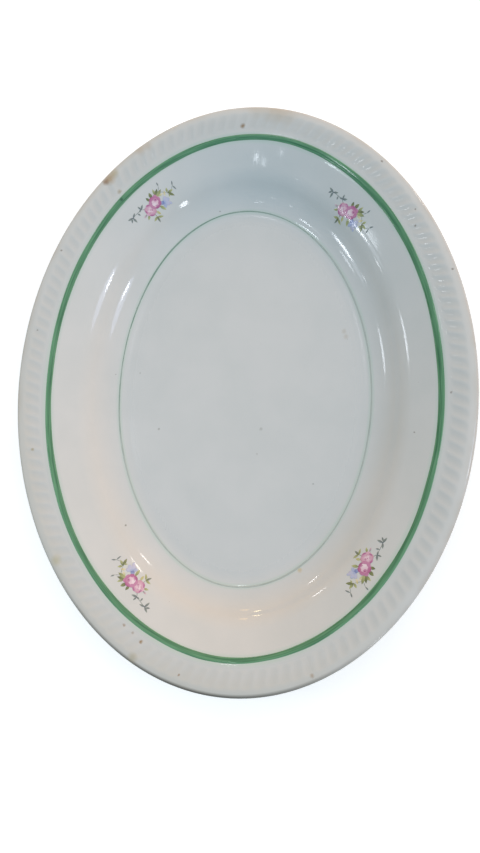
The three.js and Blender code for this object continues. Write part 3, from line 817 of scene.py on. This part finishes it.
# Leaves and stems: base and tip in mm, full width, base and tip colours
leaves = [
    ((5.4, 2.8), (8.8, -0.8), 0.3, "sage", "sage"),
    ((11.0, -1.2), (13.4, 0.6), 0.25, "sage", "slate"),
    ((5.4, 2.8), (7.2, 5.4), 0.25, "sage", "slate"),
    ((-4.2, -3.6), (-3.9, -6.4), 0.3, "olive", "sage"),
    ((-6.2, 0.2), (-8.8, 2.0), 0.3, "sage", "slate"),
    ((-8.4, 1.8), (-14.8, 1.2), 0.25, "slate", "sage"),
    ((-1.6, 1.8), (-2.4, 4.8), 1.5, "olive", "moss"),
    ((2.6, 2.0), (3.4, 6.0), 1.4, "moss", "lime"),
    ((6.2, -1.0), (7.9, 1.2), 1.2, "cream", "yellow"),
    ((-6.6, -3.0), (-8.8, -4.8), 1.2, "olive", "lime"),
    ((-2.4, -3.8), (-1.4, -6.4), 1.3, "lime", "yellow"),
    ((0.0, 2.4), (0.7, 5.8), 1.8, "moss", "olive"),
    ((1.8, 1.8), (5.6, 4.6), 1.6, "olive", "moss"),
    ((1.8, 1.4), (7.0, 3.0), 1.9, "lime", "olive"),
    ((3.6, 1.2), (6.4, 0.8), 1.2, "lime", "cream"),
    ((8.6, -0.6), (9.8, 1.8), 1.2, "olive", "lime"),
    ((8.4, -0.8), (12.0, -1.2), 1.4, "moss", "lime"),
    ((8.8, -0.6), (10.8, -4.2), 1.4, "moss", "olive"),
    ((9.4, -1.2), (8.2, -3.0), 0.9, "olive", "lime"),
    ((0.8, -2.8), (2.4, -6.4), 1.5, "olive", "lime"),
    ((-3.6, -6.0), (-6.8, -7.0), 1.1, "olive", "lime"),
    ((-3.9, -6.0), (-4.4, -9.0), 1.1, "moss", "sage"),
    ((-4.2, -6.2), (-0.9, -7.7), 1.1, "olive", "lime"),
    ((-7.6, -2.2), (-10.0, -2.7), 0.9, "sage", "blush"),
    ((-8.6, 1.6), (-6.0, 3.4), 1.1, "slate", "sage"),
    ((-8.4, 1.8), (-8.8, 4.2), 0.9, "slate", "sage"),
    ((-8.2, 1.9), (-10.2, 1.4), 0.9, "slate", "sage"),
    ((-14.4, 1.0), (-17.8, 1.6), 1.1, "slate", "sage"),
    ((-14.8, 1.4), (-14.4, -2.2), 1.1, "slate", "sage"),
    ((-14.8, 0.9), (-12.2, 2.6), 1.0, "slate", "sage"),
    ((-15.2, 1.2), (-16.8, -0.8), 0.9, "sage", "slate"),
    ((-11.2, 1.5), (-10.6, -0.4), 0.8, "sage", "slate"),
    ((13.0, 0.2), (14.5, 2.4), 0.7, "sage", "slate"),
    ((13.1, 0.4), (13.6, -2.6), 0.7, "sage", "slate"),
    ((7.0, 5.0), (7.5, 7.2), 0.7, "sage", "slate"),
]


def spray_points(print_turn):
    """Points of the spray, one per patch, with the attributes that shape and tint it."""
    patches = []
    for start, end, width, base, tip in leaves:
        middle = [(a + b) / 2 for a, b in zip(start, end)]
        length = math.dist(start, end)
        turn = math.atan2(end[1] - start[1], end[0] - start[0])
        patches.append((*middle, turn, length / 2, width / 2, 1, base, tip))
    for along, up, turn, half_length, half_breadth, base, tip in petals:
        patches.append((along, up, math.radians(turn), half_length, half_breadth, 0, base, tip))
    alongs, ups, turns, half_lengths, half_breadths, pointed, bases, tips = zip(*patches)
    places = [
        Vector((along * MM, up * MM, patch_step * order))
        for order, (along, up) in enumerate(zip(alongs, ups))
    ]
    half_sizes = zip(half_lengths, half_breadths)
    attributes = [
        ("turn", "FLOAT_VECTOR", "vector", [(0, 0, turn + print_turn) for turn in turns]),
        ("size", "FLOAT_VECTOR", "vector", [(a * MM, b * MM, patch_thickness) for a, b in half_sizes]),
        ("pointed", "INT", "value", pointed),
        ("tint_base", "FLOAT_COLOR", "color", [linear(print_tints[base]) for base in bases]),
        ("tint_tip", "FLOAT_COLOR", "color", [linear(print_tints[tip]) for tip in tips]),
    ]
    turned = Euler((0, 0, print_turn)).to_matrix()
    mesh = bpy.data.meshes.new("spray_points")
    mesh.from_pydata([turned @ place for place in places], [], [])
    for name, kind, field, values in attributes:
        mesh.attributes.new(name, kind, "POINT").data.foreach_set(field, np.ravel(values).tolist())
    return mesh


def printed_spray_tree():
    """Sets a round or pointed patch on every point and lays the spray down on the glaze."""
    tree = new_form_tree("printed_spray", {
        "Rim Angle": "Float", "Reach": "Float", "Oval Stretch": "Float", "Flank Slope": "Float",
        "Drop Height": "Float", "Glaze": "Object", "Finish": "Material",
    })
    given = add_node(tree, "NodeGroupInput").outputs
    position = add_node(tree, "GeometryNodeInputPosition")
    patch = add_node(tree, "GeometryNodeMeshUVSphere", {
        "Segments": patch_segments, "Rings": patch_rings, "Radius": 1.0})
    petal = add_node(tree, "GeometryNodeStoreNamedAttribute", {
        "Geometry": patch, "Name": "patch", "Value": position}, data_type="FLOAT_VECTOR", domain="POINT")
    part = add_node(tree, "ShaderNodeSeparateXYZ", [position]).outputs
    taper = math_node(tree, "MULTIPLY", part["X"], part["X"])
    taper = math_node(tree, "MULTIPLY_ADD", taper, -leaf_taper, 1.0)
    narrow = math_node(tree, "MULTIPLY", part["Y"], taper)
    narrow = add_node(tree, "ShaderNodeCombineXYZ", [part["X"], narrow, part["Z"]])
    leaf = add_node(tree, "GeometryNodeSetPosition", {"Geometry": petal, "Position": narrow})
    kinds = add_node(tree, "GeometryNodeGeometryToInstance")
    tree.links.new(leaf.outputs[0], kinds.inputs[0])
    tree.links.new(petal.outputs[0], kinds.inputs[0])
    shaping = {
        name: add_node(tree, "GeometryNodeInputNamedAttribute", [name], data_type=kind)
        for name, kind in (("turn", "FLOAT_VECTOR"), ("size", "FLOAT_VECTOR"), ("pointed", "INT"))
    }
    patches = add_node(tree, "GeometryNodeInstanceOnPoints", {
        "Points": given["Form"], "Instance": kinds, "Pick Instance": True,
        "Instance Index": shaping["pointed"], "Rotation": shaping["turn"], "Scale": shaping["size"]})
    form = add_node(tree, "GeometryNodeRealizeInstances", [patches])

    # The flat print is carried to its place on the oval, then dropped on the glaze
    sine = math_node(tree, "SINE", given["Rim Angle"])
    cosine = math_node(tree, "COSINE", given["Rim Angle"])
    long_reach = math_node(tree, "ADD", given["Reach"], given["Oval Stretch"])
    x = math_node(tree, "MULTIPLY", long_reach, cosine)
    y = math_node(tree, "MULTIPLY", given["Reach"], sine)
    place = add_node(tree, "ShaderNodeCombineXYZ", [x, y, given["Drop Height"]])
    ahead_x = math_node(tree, "MULTIPLY", long_reach, sine)
    ahead_y = math_node(tree, "MULTIPLY", given["Reach"], cosine)
    behind_y = math_node(tree, "MULTIPLY", ahead_y, -1.0)
    ahead = add_node(tree, "ShaderNodeCombineXYZ", [ahead_x, behind_y, 0.0])
    ahead = vector_node(tree, "NORMALIZE", ahead)
    outwards = vector_node(tree, "CROSS_PRODUCT", (0, 0, 1), ahead)
    level = math_node(tree, "COSINE", given["Flank Slope"])
    flat = add_node(tree, "ShaderNodeSeparateXYZ", [position]).outputs
    up = math_node(tree, "MULTIPLY", flat["Y"], level)
    along = add_node(tree, "ShaderNodeVectorMath", {0: ahead, "Scale": flat["X"]}, operation="SCALE")
    over = add_node(tree, "ShaderNodeVectorMath", {0: outwards, "Scale": up}, operation="SCALE")
    point = vector_node(tree, "ADD", along, over)
    point = vector_node(tree, "ADD", point, place)
    glazed = add_node(tree, "GeometryNodeObjectInfo", {"Object": given["Glaze"]}).outputs["Geometry"]
    landing = add_node(tree, "GeometryNodeRaycast", {
        "Target Geometry": glazed, "Source Position": point, "Ray Direction": (0, 0, -1),
        "Ray Length": given["Drop Height"]}).outputs["Hit Position"]
    lift = add_node(tree, "ShaderNodeCombineXYZ", [0.0, 0.0, flat["Z"]])
    laid = vector_node(tree, "ADD", landing, lift)
    form = add_node(tree, "GeometryNodeSetPosition", {"Geometry": form, "Position": laid})
    form = add_node(tree, "GeometryNodeSetShadeSmooth", [form])
    form = add_node(tree, "GeometryNodeSetMaterial", {"Geometry": form, "Material": given["Finish"]})
    add_node(tree, "NodeGroupOutput", [form])
    return tree


# Printed enamel: thin fired colour, each patch shaded in fine dabs from its base to its tip
printed_enamel, tree, shader, coords = new_material("printed_enamel")
base = stored(tree, "tint_base", "Color")
tip = stored(tree, "tint_tip", "Color")
patch = stored(tree, "patch", "Vector")
dab_size = 0.6 * MM
dab_strength = 0.8
dabs = mottle(tree, coords, dab_size, 3.0)
along = add_node(tree, "ShaderNodeSeparateXYZ", [patch]).outputs["X"]
shade = math_node(tree, "MULTIPLY_ADD", dabs, dab_strength, -dab_strength / 2)
shade = math_node(tree, "ADD", along, shade)
shade = fade(tree, shade, -0.8, 0.8)
colour = blend(tree, shade, base, tip)
fill_inputs(tree, shader, {"Base Color": colour, "Roughness": 0.14})

printed_spray = printed_spray_tree()
for number, (angle, print_turn, rise) in enumerate(sprays, start=1):
    points = spray_points(math.radians(print_turn))
    spray = grown_piece(f"printed_roses_{number}", points, printed_spray, {
        "Rim Angle": math.radians(angle), "Reach": flank_inner + rise * MM, "Oval Stretch": oval_stretch,
        "Flank Slope": flank_slope, "Drop Height": 2 * cad_high.z, "Glaze": glaze_coat,
        "Finish": printed_enamel})
    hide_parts(f"rose_spray_{number}")
    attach(spray, "root")

# Floor, light and camera
# A broad pale floor, a soft room round it that is brighter to one side, and small lamps that the wall
# of the platter mirrors as streaks.

floor_reach = 3.0
floor_grain_size = 40 * MM
floor_glow = 0.55
floor_mesh = bpy.data.meshes.new("floor")
corners = [(x * floor_reach, y * floor_reach, 0) for x, y in ((-1, -1), (1, -1), (1, 1), (-1, 1))]
floor_mesh.from_pydata(corners, [], [(0, 1, 2, 3)])
floor = bpy.data.objects.new("floor", floor_mesh)
bpy.context.scene.collection.objects.link(floor)
floor_paper, tree, shader, coords = new_material("floor_paper")
grain = mottle(tree, coords, floor_grain_size, 2.0)
colour = blend(tree, grain, "#d8d8d8", "#dededd")
ray = add_node(tree, "ShaderNodeLightPath").outputs
colour = blend(tree, ray["Is Diffuse Ray"], colour, "#343432")
seen = math_node(tree, "MAXIMUM", ray["Is Camera Ray"], ray["Is Glossy Ray"])
seen = math_node(tree, "MAXIMUM", seen, ray["Is Transmission Ray"])
glow = math_node(tree, "MULTIPLY", seen, floor_glow)
fill_inputs(tree, shader, {
    "Base Color": colour, "Roughness": 0.9, "Specular IOR Level": 0.0,
    "Emission Color": linear("#ffffff"), "Emission Strength": glow})
floor_mesh.materials.append(floor_paper)

# Light of the room: an even level and how it changes along the length, across the width and upwards
room_level = (1.022, 0.799, 0.591)
room_changes = {"X": (0.58, 0.3, 0.09), "Y": (-0.53, -0.44, -0.4), "Z": (-0.4, -0.03, 0.29)}
least_light = (0.04, 0.04, 0.04)
room = bpy.data.worlds.new("soft_room")
room.use_nodes = True
tree = room.node_tree
bearing = add_node(tree, "ShaderNodeTexCoord").outputs["Generated"]
bearing = add_node(tree, "ShaderNodeSeparateXYZ", [bearing]).outputs
light = room_level
for axis, change in room_changes.items():
    light = vector_node(tree, "MULTIPLY_ADD", bearing[axis], change, light)
light = vector_node(tree, "MAXIMUM", light, least_light)
seen = add_node(tree, "ShaderNodeLightPath").outputs["Is Camera Ray"]
light = blend(tree, seen, light, "#f7f7f7")
fill_inputs(tree, tree.nodes["Background"], {"Color": light})
bpy.context.scene.world = room

# Lamps, all in degrees as seen from the platter: bearing, height, breadth and depth, then brightness
# and colour
lamp_distance = 1.2
lamps = [
    (95, 35.7, 8, 5, 14, "#f2f8ff"),
    (93, 36, 13, 10, 1.8, "#e8f0ff"),
    (94.5, 59.5, 3, 2.5, 13, "#eef6ff"),
    (90.5, 57.5, 5, 2, 2.5, "#eef6ff"),
    (77.3, 33.2, 3.2, 5, 10, "#eef6ff"),
    (86.8, 45, 4, 4.5, 6, "#eef6ff"),
    (87.8, 29, 1.6, 2.2, 10, "#f2f8ff"),
    (-95, 46.5, 3.5, 5, 15, "#f4f9ff"),
    (-91, 47.8, 11, 12, 3.4, "#c8d8ff"),
    (-144.5, 31, 5, 5, 14, "#f4f9ff"),
    (-37.3, 25.5, 5, 3.6, 13, "#fff9f2"),
    (46.9, 15.8, 4, 2.4, 14, "#ffffff"),
    (22.3, 6.5, 3.5, 3, 12, "#ffe9b0"),
    (16.5, 14.5, 3.5, 4, 5, "#ffc860"),
    (137, 66.9, 1.2, 1.2, 15, "#eef6ff"),
    (132.8, 65.1, 1.2, 1.8, 6, "#eef6ff"),
    (135, 50, 1.2, 1.2, 8, "#eef6ff"),
    (119.5, 50, 2, 1.2, 8, "#eef6ff"),
    (120.2, 63.8, 1, 1, 7, "#eef6ff"),
    (76, 65.2, 2, 4, 18, "#eef6ff"),
    (36, 71, 1.8, 1.8, 12, "#f4f9ff"),
]
for bearing_angle, lamp_height, breadth, depth, brightness, tint in lamps:
    flat_turn = math.radians(bearing_angle)
    climb = math.radians(lamp_height)
    towards = Vector((
        math.cos(flat_turn) * math.cos(climb), math.sin(flat_turn) * math.cos(climb), math.sin(climb)))
    lamp_data = bpy.data.lights.new("lamp", "AREA")
    lamp_data.shape = "ELLIPSE"
    lamp_data.size = lamp_distance * math.radians(breadth)
    lamp_data.size_y = lamp_distance * math.radians(depth)
    lamp_area = math.pi * lamp_data.size * lamp_data.size_y / 4
    lamp_data.energy = brightness * math.pi * lamp_area
    lamp_data.color = linear(tint)[:3]
    lamp = bpy.data.objects.new("lamp", lamp_data)
    lamp.location = towards * lamp_distance
    lamp.rotation_euler = towards.to_track_quat("Z", "Y").to_euler()
    bpy.context.scene.collection.objects.link(lamp)

# Camera: the pinhole under which the rim, the band and the well line fit the photo
camera_data = bpy.data.cameras.new("camera")
camera_data.sensor_width = 36
camera_data.lens = 27.01
camera_data.clip_start = 0.01
camera = bpy.data.objects.new("camera", camera_data)
camera.location = (-71.27 * MM, -60.68 * MM, 335.29 * MM)
camera.rotation_euler = Euler([math.radians(angle) for angle in (9.012, 10.443, -89.301)])
bpy.context.scene.collection.objects.link(camera)
bpy.context.scene.camera = camera
bpy.context.scene.view_settings.view_transform = "Standard"
